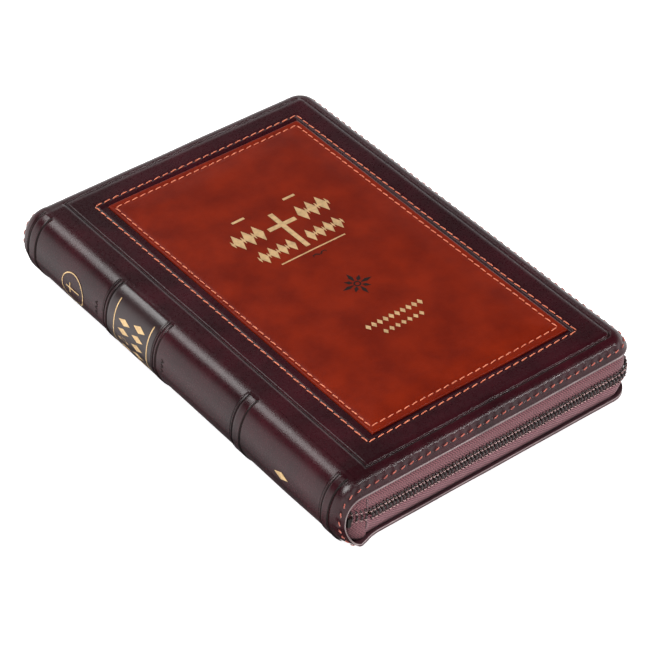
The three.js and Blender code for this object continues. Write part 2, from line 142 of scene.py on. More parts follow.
# One turn of the coil, and the pale thread that sews it to the tape. Its pale colour is partly a painted
# highlight
# for the glints of the coil: a path along the chain, up and outwards, the radii at its points, and the number
# of sides
COIL_TURN = (
    ((0.0, 2.7, 0.0), (0.0, 2.75, 0.75), (0.25, 1.5, 1.1), (0.5, 0.2, 1.1), (0.6, -0.5, 0.5)),
    (0.3, 0.38, 0.42, 0.42, 0.34), 7,
)
COIL_SEWING_GLINT = (
    ((-0.35, 1.9, 0.9), (-0.1, 1.95, 1.5), (0.45, 2.0, 1.5), (0.7, 2.05, 0.9)), (0.12, 0.17, 0.17, 0.12), 6,
)

# Camera and lights, in metres: name, place, target, side of the square and watts of each light
CAMERA_PLACE = (-0.5350, -0.6718, 0.7408)
CAMERA_RIGHT = (0.7864, -0.61763, 0.01078)
CAMERA_AHEAD = (0.47491, 0.59335, -0.64992)
CAMERA_LENS = 152.98
LIGHTS = (
    ("main", (-0.45, -0.55, 1.25), (0, 0, 0), 0.8, 22),
    ("behind_spine", (-0.12, 0.77, 1.05), (-0.05, 0, 0.02), 0.55, 6.5),
    ("tail_side", (0.60, -0.82, 0.71), (0, -0.1, 0.02), 0.12, 2.6),
)

# World: brightness from straight below (0) to straight above (1)
WORLD_LEVELS = ((0, 0.05), (0.14, 0.06), (0.26, 0.75), (0.60, 0.85), (0.74, 0.02), (1, 0.015))
WORLD_STRENGTH = 1.75
FLOOR_GLOW = 0.85


# --- Numbers ---

def smooth_step(value):
    """0 below 0, 1 above 1, and a smooth rise between."""
    clipped = np.clip(value, 0, 1)
    return clipped * clipped * (3 - 2 * clipped)


def graded(low, high, coarse, fine, marks, reach):
    """Places from low to high, coarse apart, and fine apart within reach of each mark."""
    places = [low]
    while places[-1] < high:
        near = any(abs(places[-1] - mark) < reach for mark in marks)
        places.append(places[-1] + (fine if near else coarse))
    places = np.array(places)
    return low + (places - low) * (high - low) / (places[-1] - low)


def soft_curve(places, values, width):
    """A function through the given places, rounded over a width."""
    fine = np.arange(places[0] - 4 * width, places[-1] + 4 * width, width / 8)
    raw = np.interp(fine, places, values)
    reach = np.arange(-24, 25) / 8
    weights = np.exp(-reach * reach)
    padded = np.pad(raw, 24, mode="edge")
    rounded = np.convolve(padded, weights / weights.sum(), mode="valid")
    return lambda at: np.interp(at, fine, rounded)


def to_rectangle(x, y, box, corner=0.0):
    """Distance to the outline of a rectangle with round corners, negative inside."""
    middle = (box["x0"] + box["x1"]) / 2
    out_x = np.abs(x - middle) - (box["x1"] - box["x0"]) / 2 + corner
    out_y = np.abs(y) - box["y"] + corner
    outside = np.hypot(np.maximum(out_x, 0), np.maximum(out_y, 0))
    return outside + np.minimum(np.maximum(out_x, out_y), 0) - corner


# --- Meshes ---

def make_object(name, points, faces, materials, face_material=None, uv=None, merge=False):
    """A mesh object from points in millimetres."""
    mesh = bpy.data.meshes.new(name)
    mesh.from_pydata((np.asarray(points) * MM).tolist(), [], [[int(i) for i in face] for face in faces])
    for material in materials:
        mesh.materials.append(material)
    if face_material is not None:
        mesh.polygons.foreach_set("material_index", np.asarray(face_material, dtype=np.int32))
    if uv is not None:
        layer = mesh.uv_layers.new(name="UVMap")
        corners = np.empty(len(mesh.loops), dtype=np.int32)
        mesh.loops.foreach_get("vertex_index", corners)
        layer.data.foreach_set("uv", np.asarray(uv)[corners].ravel())
    mesh.polygons.foreach_set("use_smooth", [True] * len(mesh.polygons))
    if merge:
        edit = bmesh.new()
        edit.from_mesh(mesh)
        bmesh.ops.remove_doubles(edit, verts=edit.verts, dist=1e-6)
        bmesh.ops.recalc_face_normals(edit, faces=edit.faces)
        edit.to_mesh(mesh)
        edit.free()
    mesh.update()
    thing = bpy.data.objects.new(name, mesh)
    bpy.context.scene.collection.objects.link(thing)
    return thing


def grid_faces(rows, columns, first=0, close_columns=False):
    """Quads between neighbouring rows and columns of a grid of points."""
    count = columns if close_columns else columns - 1
    row, column = np.meshgrid(np.arange(rows - 1), np.arange(count), indexing="ij")
    after = (column + 1) % columns
    a = first + row * columns + column
    b = first + row * columns + after
    return np.stack([a, b, b + columns, a + columns], axis=-1).reshape(-1, 4)


def grid_border(rows, columns):
    """The outer points of a grid, in order round it."""
    border = list(range(columns))
    border += [row * columns + columns - 1 for row in range(1, rows)]
    border += [(rows - 1) * columns + column for column in range(columns - 2, -1, -1)]
    border += [row * columns for row in range(rows - 2, 0, -1)]
    return border


def grid_points(x, y, z):
    """Points from coordinates that spread over one grid."""
    return np.stack(np.broadcast_arrays(x, y, z), axis=-1)


def unit(vectors):
    return vectors / np.linalg.norm(vectors, axis=1)[:, None]


def place_copies(template, faces, origins, along, across, out):
    """Copies of a small mesh, each at an origin with its own three directions."""
    template = np.asarray(template)
    points = (
        origins[:, None, :]
        + template[None, :, 0:1] * along[:, None, :]
        + template[None, :, 1:2] * across[:, None, :]
        + template[None, :, 2:3] * out[:, None, :]
    )
    size = len(template)
    return points.reshape(-1, 3), [
        [size * copy + i for i in face] for copy in range(len(origins)) for face in faces
    ]


def tube(path, radii, sides=8):
    """A closed tube along a short path, as points and faces."""
    path = np.asarray(path, dtype=float)
    along = unit(np.gradient(path, axis=0))
    side = np.cross(along, (0.0, 0.0, 1.0))
    weak = np.linalg.norm(side, axis=1) < 0.2
    side[weak] = np.cross(along[weak], (1.0, 0.0, 0.0))
    side = unit(side)
    up = np.cross(side, along)
    angle = np.arange(sides) * 2 * math.pi / sides
    radii = np.asarray(radii, dtype=float)
    ring = np.cos(angle)[None, :, None] * side[:, None, :] + np.sin(angle)[None, :, None] * up[:, None, :]
    points = (path[:, None, :] + radii[:, None, None] * ring).reshape(-1, 3)
    faces = list(grid_faces(len(path), sides, close_columns=True))
    faces.append(range(sides)[::-1])
    faces.append(range((len(path) - 1) * sides, len(path) * sides))
    return points, faces


def stitch_shape(long, wide, high):
    """A stitch: a thread that rises out of its hole, lies along the seam and goes down again."""
    share = np.array([-0.5, -0.44, -0.3, -0.1, 0.1, 0.3, 0.44, 0.5])
    lift = np.array([-0.9, -0.1, 0.35, 0.5, 0.5, 0.35, -0.1, -0.9]) * high
    path = np.stack([share * long, np.zeros(8), lift], axis=1)
    return tube(path, np.array([0.5, 0.85, 1, 1, 1, 1, 0.85, 0.5]) * wide)


# --- Materials ---

class Nodes:
    """Short names for building the nodes of one material or world."""

    def __init__(self, name, kind="materials", shader="Principled BSDF"):
        self.owner = getattr(bpy.data, kind).new(name)
        self.owner.use_nodes = True
        self.tree = self.owner.node_tree
        self.shader = self.tree.nodes[shader]

    def add(self, kind, inputs=None, **settings):
        node = self.tree.nodes.new(kind)
        for key, value in settings.items():
            setattr(node, key, value)
        for key, value in (inputs or {}).items():
            self.feed(node.inputs[key], value)
        return node

    def feed(self, socket, value):
        if isinstance(value, bpy.types.NodeSocket):
            self.tree.links.new(value, socket)
        else:
            socket.default_value = value

    def set(self, **values):
        for key, value in values.items():
            self.feed(self.shader.inputs[key.replace("_", " ")], value)

    def math(self, operation, a, b=0.0):
        return self.add("ShaderNodeMath", {0: a, 1: b}, operation=operation).outputs[0]

    def object_place(self):
        return self.add("ShaderNodeTexCoord").outputs["Object"]

    def noise(self, scale, detail=3.0, rough=0.5):
        inputs = {"Vector": self.object_place(), "Scale": scale, "Detail": detail, "Roughness": rough}
        return self.add("ShaderNodeTexNoise", inputs).outputs[0]

    def cells(self, scale):
        inputs = {"Vector": self.object_place(), "Scale": scale}
        return self.add("ShaderNodeTexVoronoi", inputs, feature="DISTANCE_TO_EDGE").outputs["Distance"]

    def ramp(self, value, *stops):
        node = self.add("ShaderNodeValToRGB", {"Fac": value})
        elements = node.color_ramp.elements
        for place, _ in stops[1:-1]:
            elements.new(place)
        for element, (place, color) in zip(elements, stops):
            element.position = place
            element.color = (*color, 1.0)
        return node.outputs[0]

    def bump(self, height, strength, distance_mm):
        inputs = {"Height": height, "Strength": strength, "Distance": distance_mm * MM}
        self.set(Normal=self.add("ShaderNodeBump", inputs).outputs[0])


def grey(level):
    return (level, level, level)


def scaled(color, share):
    return tuple(c * share for c in color)


GRAIN = 1500.0  # pebbles to the metre
GRAIN_DEPTH = 0.05


def leather(name, dark, light, roughness, coat=0.0, mottle=40.0, shine=0.5):
    """Grained leather with soft colour clouds and pebbles that break up its gloss."""
    n = Nodes(name)
    clouds = n.noise(mottle, 4.0, 0.6)
    n.set(Base_Color=n.ramp(clouds, (0.36, dark), (0.66, light)))
    pebbles = n.ramp(n.cells(GRAIN), (0.0, grey(0.0)), (0.28, grey(1.0)))
    wrinkles = n.noise(GRAIN * 0.35, 4.0, 0.6)
    height = n.math("ADD", n.math("MULTIPLY", pebbles, 0.5), wrinkles)
    n.bump(height, 0.5, GRAIN_DEPTH)
    gloss = n.noise(1100.0, 2.0)
    n.set(Roughness=n.ramp(gloss, (0.3, grey(roughness - 0.03)), (0.7, grey(roughness + 0.03))))
    n.set(Coat_Weight=coat, Coat_Roughness=0.3, Specular_IOR_Level=shine)
    return n.owner


def woven_tape(name, dark, light, herringbone):
    """Zip tape: fine twill, whose slant turns back and forth across the tape if it is herringbone."""
    n = Nodes(name)
    place = n.add("ShaderNodeTexCoord").outputs["UV"]
    axes = n.add("ShaderNodeSeparateXYZ", {"Vector": place})
    along, across = axes.outputs[0], axes.outputs[1]
    if herringbone:
        across = n.math("PINGPONG", across, 1.6)
    slant = n.math("ADD", n.math("MULTIPLY", along, 5.2), n.math("MULTIPLY", across, 5.2))
    ridge = n.math("SINE", slant)
    yarn = n.math("SINE", n.math("MULTIPLY", axes.outputs[1], 14.0))
    weave = n.math("ADD", n.math("MULTIPLY", ridge, 0.38), n.math("MULTIPLY", yarn, 0.12))
    level = n.math("ADD", weave, 0.5)
    n.set(Base_Color=n.ramp(level, (0.1, dark), (0.85, light)))
    n.bump(level, 0.9, 0.12)
    n.set(Roughness=0.82, Sheen_Weight=0.1)
    return n.owner


def thread(name, dark, light):
    """Twisted sewing thread."""
    n = Nodes(name)
    n.set(Base_Color=n.ramp(n.noise(900.0, 2.0), (0.3, dark), (0.7, light)))
    n.bump(n.noise(3500.0, 2.0), 0.6, 0.05)
    n.set(Roughness=0.6, Sheen_Weight=0.2)
    return n.owner


def foil(name, color):
    """Stamped gold foil, a little worn, that follows the grain under it."""
    n = Nodes(name)
    n.set(Base_Color=n.ramp(n.noise(500.0, 4.0), (0.3, scaled(color, 0.72)), (0.6, color)))
    n.bump(n.noise(1200.0, 3.0), 0.4, 0.03)
    n.set(Metallic=0.55, Roughness=0.42)
    return n.owner


def metal(name, color):
    """Plated metal with fine scuffs."""
    n = Nodes(name)
    scuffs = n.noise(700.0, 5.0, 0.7)
    n.set(Base_Color=n.ramp(scuffs, (0.3, scaled(color, 0.7)), (0.7, color)))
    n.set(Roughness=n.ramp(scuffs, (0.3, grey(0.28)), (0.75, grey(0.5))), Metallic=1.0)
    n.bump(scuffs, 0.2, 0.02)
    return n.owner


def nylon(name, color):
    """Smooth monofilament."""
    n = Nodes(name)
    n.set(Base_Color=n.ramp(n.noise(400.0), (0.3, color), (0.7, scaled(color, 1.8))))
    n.set(Roughness=0.3, Coat_Weight=0.3)
    return n.owner


def paper(name, color, edge=None):
    """Paper with a faint tooth. With an edge colour, the cut sides show gilt leaves."""
    n = Nodes(name)
    page = n.ramp(n.noise(260.0, 4.0), (0.3, scaled(color, 0.95)), (0.7, color))
    if edge is None:
        n.set(Base_Color=page, Roughness=0.85)
        n.bump(n.noise(1500.0, 3.0), 0.2, 0.02)
        return n.owner
    height = n.add("ShaderNodeSeparateXYZ", {"Vector": n.object_place()}).outputs[2]
    leaves = n.math("SINE", n.math("MULTIPLY", height, 24000.0))
    gilt = n.ramp(n.math("ADD", n.math("MULTIPLY", leaves, 0.4), 0.5),
                  (0.1, scaled(edge, 0.55)), (0.8, edge))
    facing = n.add("ShaderNodeSeparateXYZ", {"Vector": n.add("ShaderNodeTexCoord").outputs["Normal"]})
    flat = n.math("GREATER_THAN", n.math("ABSOLUTE", facing.outputs[2]), 0.9)
    mix = n.add("ShaderNodeMix", {"Factor": flat}, data_type="RGBA")
    n.feed(mix.inputs[6], gilt)
    n.feed(mix.inputs[7], page)
    n.set(Base_Color=mix.outputs[2], Roughness=0.5)
    n.bump(leaves, 0.5, 0.05)
    return n.owner


def cloth(name, dark, light, pitch):
    """Plain woven cloth."""
    n = Nodes(name)
    axes = n.add("ShaderNodeSeparateXYZ", {"Vector": n.object_place()})
    warp = n.math("SINE", n.math("MULTIPLY", axes.outputs[1], pitch))
    weft = n.math("SINE", n.math("MULTIPLY", axes.outputs[2], pitch))
    level = n.math("ADD", n.math("MULTIPLY", n.math("MULTIPLY", warp, weft), 0.5), 0.5)
    n.set(Base_Color=n.ramp(level, (0.2, dark), (0.8, light)), Roughness=0.85)
    n.bump(level, 0.5, 0.06)
    return n.owner


BURGUNDY = leather("burgundy_leather", (0.014, 0.001, 0.0026), (0.031, 0.0026, 0.0058), 0.29, shine=0.42)
SPINE_LABEL = leather("label_leather", (0.012, 0.004, 0.005), (0.022, 0.007, 0.008), 0.32, 0.3)
TAN = leather(
    "tan_leather", (0.112, 0.0062, 0.0008), (0.168, 0.0108, 0.0013), 0.38, mottle=60.0, shine=0.12
)
INSIDE = leather("inside_leather", (0.030, 0.008, 0.012), (0.055, 0.016, 0.022), 0.6)
# The light grey of the rim's cut edge is partly the edge's own colour and partly a painted highlight along
# the rounded edge.
CUT_EDGE_AND_HIGHLIGHT = leather("cut_edge_and_highlight", (0.14, 0.10, 0.10), (0.28, 0.22, 0.22), 0.4, 0.1)
CORAL = thread("coral_thread", (0.46, 0.085, 0.035), (0.72, 0.215, 0.105))
# The coral thread again, painted darker: painted shade for the rim seams, which sit in the valley between the
# puckers.
CORAL_PAINTED_SHADE = thread("coral_thread_painted_shade", (0.22, 0.030, 0.020), (0.42, 0.095, 0.060))
# Pale thread over the coil: partly the sewing of the coil, partly a painted highlight for the glints of its
# turns.
PALE_THREAD_GLINT = thread("tape_thread_and_glint", (0.25, 0.13, 0.13), (0.45, 0.28, 0.27))
GOLD = foil("gold_foil", (0.74, 0.50, 0.25))
BLIND = leather("pressed_marks", (0.004, 0.0015, 0.0015), (0.012, 0.004, 0.003), 0.6, shine=0.2)
UPPER_TAPE = woven_tape("upper_tape", (0.032, 0.007, 0.011), (0.20, 0.064, 0.076), True)
LOWER_TAPE = woven_tape("lower_tape", (0.055, 0.014, 0.020), (0.21, 0.070, 0.086), False)
COIL = nylon("coil_nylon", (0.012, 0.006, 0.006))
GUNMETAL = metal("gunmetal", (0.09, 0.08, 0.075))
PAGES = paper("pages", (0.58, 0.55, 0.46), edge=(0.52, 0.36, 0.16))
ENDPAPER = paper("endpaper", (0.56, 0.52, 0.45))
MULL = cloth("mull", (0.50, 0.45, 0.36), (0.80, 0.75, 0.66), 5200.0)
HEADBAND = cloth("headband", (0.45, 0.03, 0.04), (0.85, 0.80, 0.68), 3000.0)
BOARD = paper("grey_board", (0.42, 0.39, 0.34))
LINING = leather("lining_leather", (0.016, 0.006, 0.008), (0.030, 0.011, 0.014), 0.5, 0.05)


# --- Leather skins ---

front_fall = soft_curve(
    (0.0, 0.7, RIM_SEAM, 2.2, 3.0, 4.0, 5.0, 6.4, 8.0, 9.5),
    (6.2, 5.2, 3.8, 2.6, 1.75, 1.05, 0.65, 0.45, 0.25, 0.0),
    0.35,
)
back_fall = soft_curve((0.0, RIM_SEAM, 3.0, 5.0, 8.0, 9.5), (BACK_RIM_FALL, 4.3, 2.8, 1.3, 0.3, 0.0), 0.35)

# Inner face and cut edge of the turned rim, from inside out: inset, and drop at the front and at the back
INNER_ROWS = (
    (9.0, 2.0, 1.8), (6.0, 2.2, 2.3), (4.4, 2.5, 3.2), (3.0, 3.4, 4.4), (RIM_SEAM, 5.1, 5.5), (0.5, 6.7, 6.0),
)
# The edge rows take the light cut-edge leather, whose colour is partly a painted highlight.
EDGE_ROWS = (
    (0.12, 7.0, 6.15, "edge"), (0.0, 6.9, 6.05, "edge"), (-0.04, 6.75, 5.75, "edge"),
    (0.06, 6.6, 5.45, "middle"), (0.06, 6.5, 5.25, "middle"), (-0.04, 6.35, 5.0, "edge"),
)
RIM_INSETS = (*np.arange(0, 6.3, 0.35), *np.arange(6.4, 8.3, 0.15), 8.6, 9.0, 9.5, CORNER_R)


def rim_rows():
    """(inset, front drop, back drop, kind) from the inner face, over the cut edge and up to the flat."""
    rows = [(*row, "inside") for row in INNER_ROWS]
    rows += EDGE_ROWS
    rows += [(inset, float(front_fall(inset)), float(back_fall(inset)), "outside") for inset in RIM_INSETS]
    return rows


def undulation(x, y):
    """Slight unevenness of padded leather."""
    return 0.05 * (np.sin(x * 0.11 + y * 0.05) + np.sin(y * 0.083 - x * 0.037) + np.sin(x * 0.19 - y * 0.13))


def puckers(inset, length):
    """The leather gathers between the stitches of the rim."""
    near = np.exp(-(((inset - PUCKER["inset"]) / PUCKER["wide"]) ** 2))
    wave = np.cos(2 * math.pi * (length / RIM_PITCH + PUCKER["lean"] * (inset - RIM_SEAM)))
    return -PUCKER["deep"] * near * (1 + wave)


def seam_dent(x, y, box, deep):
    """How far a rectangular seam pulls the leather down."""
    return deep * np.exp(-((to_rectangle(x, y, box) / SEAM_WIDTH) ** 2))


def cover_relief(x, y):
    """Pressed groove, seam and panel recess of the front cover."""
    groove = np.where(x < 0, to_rectangle(x, y, GROOVE), to_rectangle(x, y, GROOVE, GROOVE["corner"]))
    relief = -GROOVE["deep"] * smooth_step((GROOVE["half"] - np.abs(groove)) / GROOVE["wall"])
    relief -= seam_dent(x, y, OUTER_SEAM, 0.16)
    relief -= RECESS["deep"] * smooth_step(-to_rectangle(x, y, RECESS) / 0.5)
    return relief + undulation(x, y)


def band_relief(y):
    """Raised bands with pressed lines, and the thin label, along the spine."""
    relief = np.zeros_like(y)
    for lines in BANDS.values():
        raised = smooth_step((lines[0] + 0.3 - y) / 0.5) * smooth_step((y - lines[-1] + 0.3) / 0.5)
        relief += BAND_RISE * raised
        for line in lines:
            relief -= BAND_LINE["deep"] * np.exp(-(((y - line) / BAND_LINE["wide"]) ** 2))
    label = smooth_step((y - LABEL[0]) / 0.3) * smooth_step((LABEL[1] - y) / 0.3)
    return relief + LABEL_RISE * label


def spine_share(x):
    """1 on the spine, 0 on the cover, and a smooth change at the shoulder."""
    return smooth_step((SHOULDER_X + 0.5 - x) / 0.8)


def spine_point(angle, drop, back_drop, relief):
    """X and Z on the spine at an angle from the middle (front half above 0)."""
    front = angle > 0
    power = np.where(front, SPINE_FULL, SPINE_FLAT)
    deep = SPINE_DEEP - SPINE_SHRINK * drop
    high = MIDDLE - np.where(front, drop, back_drop)
    out = np.maximum(np.cos(angle), 0) ** power
    up = np.sign(angle) * np.abs(np.sin(angle)) ** power
    slope = np.hypot(np.cos(angle) / deep, np.sin(angle) / high)
    x = SPINE_CENTRE - deep * out - relief * np.cos(angle) / deep / slope
    z = MIDDLE + high * up + relief * np.sin(angle) / high / slope
    return x, z


def back_dip(drop, x):
    """Fall of the back rim, which is less beside the spine."""
    beside = smooth_step((BACK_DIP["start"] - x) / BACK_DIP["reach"])
    return drop - BACK_DIP["deep"] * beside * np.minimum(drop / BACK_RIM_FALL, 1)


def rim_place(x):
    """Length along the rim's seam from the middle of the fore-edge, on the head or tail side."""
    return HALF_HEIGHT - CORNER_R + math.pi / 2 * (CORNER_R - RIM_SEAM) + (FORE_X - CORNER_R - x)


def rim_spot(length, inset):
    """Place and outward direction on a line round the rim, at a length from the middle of the fore-edge."""
    side = 1.0 if length > 0 else -1.0
    radius = CORNER_R - inset
    straight = HALF_HEIGHT - CORNER_R
    turn = abs(length) - straight
    after = turn - radius * math.pi / 2
    if turn < 0:
        return (FORE_X - inset, length), (1.0, 0.0)
    if after > 0:
        return (FORE_X - CORNER_R - after, side * (HALF_HEIGHT - inset)), (0.0, side)
    normal = (math.cos(turn / radius), side * math.sin(turn / radius))
    return (FORE_X - CORNER_R + radius * normal[0], side * straight + radius * normal[1]), normal


def skin_object(name, patches, materials, kind_names):
    """One mesh from patches that share their borders, each a grid of points and the kinds of its faces."""
    points = []
    faces = []
    numbers = []
    first = 0
    for grid, kinds in patches:
        rows, columns = grid.shape[:2]
        points.append(grid.reshape(-1, 3))
        faces.append(grid_faces(rows, columns, first))
        numbers += [kind_names.index(kind) for kind in kinds.reshape(-1)]
        first += rows * columns
    return make_object(
        name, np.concatenate(points), np.concatenate(faces), materials, face_material=numbers, merge=True
    )


def row_kinds(kinds, columns):
    """The kind of every face of a patch whose rows are all of one kind."""
    return np.repeat(np.array(kinds[1:], dtype=object)[:, None], columns - 1, axis=1)


def place_height(drop, relief, upper):
    return THICK - drop + relief if upper else drop - relief


def build_rows(upper):
    """Y, inset, both drops and kind of each row from tail to head, rows in a rim, and the Y between rims."""
    rim = rim_rows()
    marks = [line for lines in BANDS.values() for line in lines] + [-RECESS["y"], RECESS["y"], *LABEL]
    inner = HALF_HEIGHT - CORNER_R
    middle = graded(-inner, inner, 0.8, 0.2, marks, 0.7) if upper else np.linspace(-inner, inner, 79)
    rows = [(-HALF_HEIGHT + row[0], *row) for row in rim]
    rows += [(y, HALF_HEIGHT - abs(y), 0.0, 0.0, "outside") for y in middle[1:-1]]
    rows += [(HALF_HEIGHT - row[0], *row) for row in reversed(rim)]
    return rows, len(rim), middle


def row_values(rows):
    """Columns of Y, inset, front drop, back drop, and whether each row is on the outside."""
    numbers = [np.array([row[i] for row in rows], dtype=float)[:, None] for i in range(4)]
    return (*numbers, np.array([row[4] == "outside" for row in rows])[:, None])


def face_row_kinds(rows):
    """A row of faces takes its kind from whichever of its two rows is further inside."""
    order = {"outside": 0, "edge": 1, "middle": 2, "inside": 3}
    kinds = [rows[0][4]]
    for before, after in zip(rows, rows[1:]):
        kinds.append(max(before[4], after[4], key=order.get))
    return kinds


def cover_surface(x, y, upper, inset, length, outside):
    """Relief of a cover with the gathers of its rim. The inner face of the rim is plain."""
    relief = cover_relief(x, y) if upper else undulation(x, y)
    return np.where(outside, relief + puckers(inset, length), 0)


def flat_patches(upper):
    """The flat of a cover with its rim: main part, fore-edge strip and two corners."""
    rows, rim_count, middle = build_rows(upper)
    y, inset, front_drop, back_drop, outside = row_values(rows)
    drop = front_drop if upper else back_drop
    marks = (GROOVE["x0"], RECESS["x0"], RECESS["x1"], OUTER_SEAM["x0"], SHOULDER_X)
    step = 0.8 if upper else 2.5
    x = graded(SPINE_CENTRE, FORE_X - CORNER_R, step, 0.25 if upper else step, marks, 0.9)[None, :]
    relief = cover_surface(x, y, upper, inset, rim_place(x), outside)
    if upper:
        relief = relief + np.where(outside, band_relief(y) * spine_share(x), 0)
    height = place_height(drop if upper else back_dip(drop, x), relief, upper)
    patches = [(grid_points(x, y, height), row_kinds(face_row_kinds(rows), x.size))]

    rim = rows[:rim_count]
    _, inset, front_drop, back_drop, outside = row_values(rim)
    drop = front_drop if upper else back_drop
    kinds = face_row_kinds(rim)

    along = middle[None, :]
    fore_x = FORE_X - inset
    height = place_height(drop, cover_surface(fore_x, along, upper, inset, np.abs(along), outside), upper)
    patches.append((grid_points(fore_x, along, height), row_kinds(kinds, middle.size)))

    angle = np.linspace(0, math.pi / 2, 25)[None, :]
    radius = CORNER_R - inset
    length = HALF_HEIGHT - CORNER_R + (CORNER_R - RIM_SEAM) * angle
    for side in (-1, 1):
        corner_x = FORE_X - CORNER_R + radius * np.cos(angle)
        corner_y = side * (HALF_HEIGHT - CORNER_R + radius * np.sin(angle))
        height = place_height(drop, cover_surface(corner_x, corner_y, upper, inset, length, outside), upper)
        patches.append((grid_points(corner_x, corner_y, height), row_kinds(kinds, angle.size)))
    return patches


def spine_patch(from_angle, to_angle, steps, upper):
    """The curved back of the book between two angles, with its bands."""
    rows, _, _ = build_rows(upper)
    y, inset, drop, back_drop, outside = row_values(rows)
    angle = np.linspace(from_angle, to_angle, steps)[None, :]
    plain_x, _ = spine_point(angle, drop, back_drop, 0)
    back_drop = back_dip(back_drop, plain_x)
    shade = spine_share(plain_x) * smooth_step((angle + 1.2) / 0.25)
    length = rim_place(SPINE_CENTRE) + SPINE_ARC * (math.pi / 2 - angle)
    relief = band_relief(y) * shade + puckers(inset, length) + undulation(angle * 12, y)
    relief = np.where(outside, relief, 0)
    x, z = spine_point(angle, drop, back_drop, relief)
    kinds = row_kinds(face_row_kinds(rows), steps)
    if upper:
        low, high = LABEL
        centre = (y[1:] + y[:-1]) / 2
        labelled = (centre > low) & (centre < high) & (plain_x[1:, 1:] < SHOULDER_X) & (angle[:, 1:] > -1.1)
        kinds = np.where(labelled, "label", kinds)
    return grid_points(x, y, z), kinds


def front_skin():
    """Leather of the front cover and of the spine, in one wrapped piece."""
    patches = flat_patches(True) + [spine_patch(SPINE_SEAM, math.pi / 2, 64, True)]
    skin = skin_object(
        "wrapped_leather", patches, [BURGUNDY, CUT_EDGE_AND_HIGHLIGHT, CUT_EDGE_AND_HIGHLIGHT, INSIDE, SPINE_LABEL],
        ("outside", "edge", "middle", "inside", "label"),
    )
    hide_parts("front_leather", "spine_leather")
    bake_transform(skin)


def back_skin():
    """Leather of the back cover, up to the seam low on the spine."""
    patches = flat_patches(False) + [spine_patch(-math.pi / 2, SPINE_SEAM, 10, False)]
    skin = skin_object(
        "back_cover_leather", patches, [BURGUNDY, CUT_EDGE_AND_HIGHLIGHT, INSIDE, INSIDE],
        ("outside", "edge", "middle", "inside"),
    )
    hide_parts("back_leather")
    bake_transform(skin)


# --- Panel ---

def panel_height(x, y):
    """Top of the tan panel: rounded at its edge, pressed along its seam and slightly padded."""
    inside = np.maximum(-to_rectangle(x, y, PANEL, PANEL["corner"]), 0)
    edge = 0.7 * (1 - np.sqrt(1 - np.clip(1 - inside / 0.8, 0, 1) ** 2))
    crown = 0.45 * smooth_step(inside / 14)
    return THICK + 0.1 - edge - seam_dent(x, y, INNER_SEAM, 0.18) + crown + undulation(y, x)


def tan_panel():
    """The inset panel of tan leather."""
    x = graded(PANEL["x0"], PANEL["x1"], 0.9, 0.2, (PANEL["x0"], PANEL["x1"]), 2.2)
    y = graded(-PANEL["y"], PANEL["y"], 0.9, 0.2, (-PANEL["y"], PANEL["y"]), 2.2)
    grid_x, grid_y = np.meshgrid(x, y)
    top = np.stack([grid_x, grid_y, panel_height(grid_x, grid_y)], axis=-1).reshape(-1, 3)
    faces = list(grid_faces(len(y), len(x)))
    border = grid_border(len(y), len(x))
    skirt = top[border].copy()
    skirt[:, 2] = THICK - RECESS["deep"] + 0.05
    first = len(top)
    count = len(border)
    for i, corner in enumerate(border):
        after = (i + 1) % count
        faces.append((corner, first + i, first + after, border[after]))
    faces.append(range(first, first + count)[::-1])
    panel = make_object("tan_cover_panel", np.concatenate([top, skirt]), faces, [TAN])
    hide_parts("tan_panel")
    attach(panel, "front_cover")


# --- Stitches ---

def sew(name, origins, along, out, body, slot_name, size, slant=0.12, material=CORAL):
    """A row of stitches, each turned slightly across its seam."""
    origins, along, out = (np.array(list(values)) for values in (origins, along, out))
    across = np.cross(out, along)
    turned = unit(along + slant * across)
    across = np.cross(out, turned)
    template, faces = stitch_shape(**size)
    points, faces = place_copies(template, faces, origins, turned, across, out)
    thing = make_object(name, points, faces, [material])
    if body:
        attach(thing, body)
    return thing


def rectangle_seam(name, box, height, pitch, size, slot_name):
    """Stitches round a rectangle on the front cover."""
    frames = []
    wide = box["x1"] - box["x0"]
    across = round(wide / pitch)
    up = round(2 * box["y"] / pitch)
    for i in range(across):
        x = box["x0"] + wide * (i + 0.5) / across
        frames += [((x, y, height(x, y)), (1.0, 0.0, 0.0)) for y in (-box["y"], box["y"])]
    for i in range(up):
        y = -box["y"] + 2 * box["y"] * (i + 0.5) / up
        frames += [((x, y, height(x, y)), (0.0, 1.0, 0.0)) for x in (box["x0"], box["x1"])]
    out = np.tile((0.0, 0.0, 1.0), (len(frames), 1))
    return sew(name, *zip(*frames), out, "front_cover", slot_name, size)


def rim_frames(upper):
    """Origins and directions of the stitches along the three open sides of a cover."""
    frames = []
    lift = 0.12
    fall = front_fall if upper else back_fall
    drop = float(fall(RIM_SEAM))
    tilt = math.atan(float(fall(RIM_SEAM - 0.3) - fall(RIM_SEAM + 0.3)) / 0.6)
    rise = math.cos(tilt) if upper else -math.cos(tilt)
    for length in np.arange(RIM_PITCH / 2, rim_place(SPINE_CENTRE), RIM_PITCH):
        for side in (-1, 1):
            place, normal = rim_spot(side * length, RIM_SEAM)
            facing = np.array([normal[0] * math.sin(tilt), normal[1] * math.sin(tilt), rise])
            height = THICK - drop if upper else float(back_dip(drop, place[0]))
            frames.append((np.array([*place, height]) + lift * facing, (-normal[1], normal[0], 0.0), facing))
    return zip(*frames)


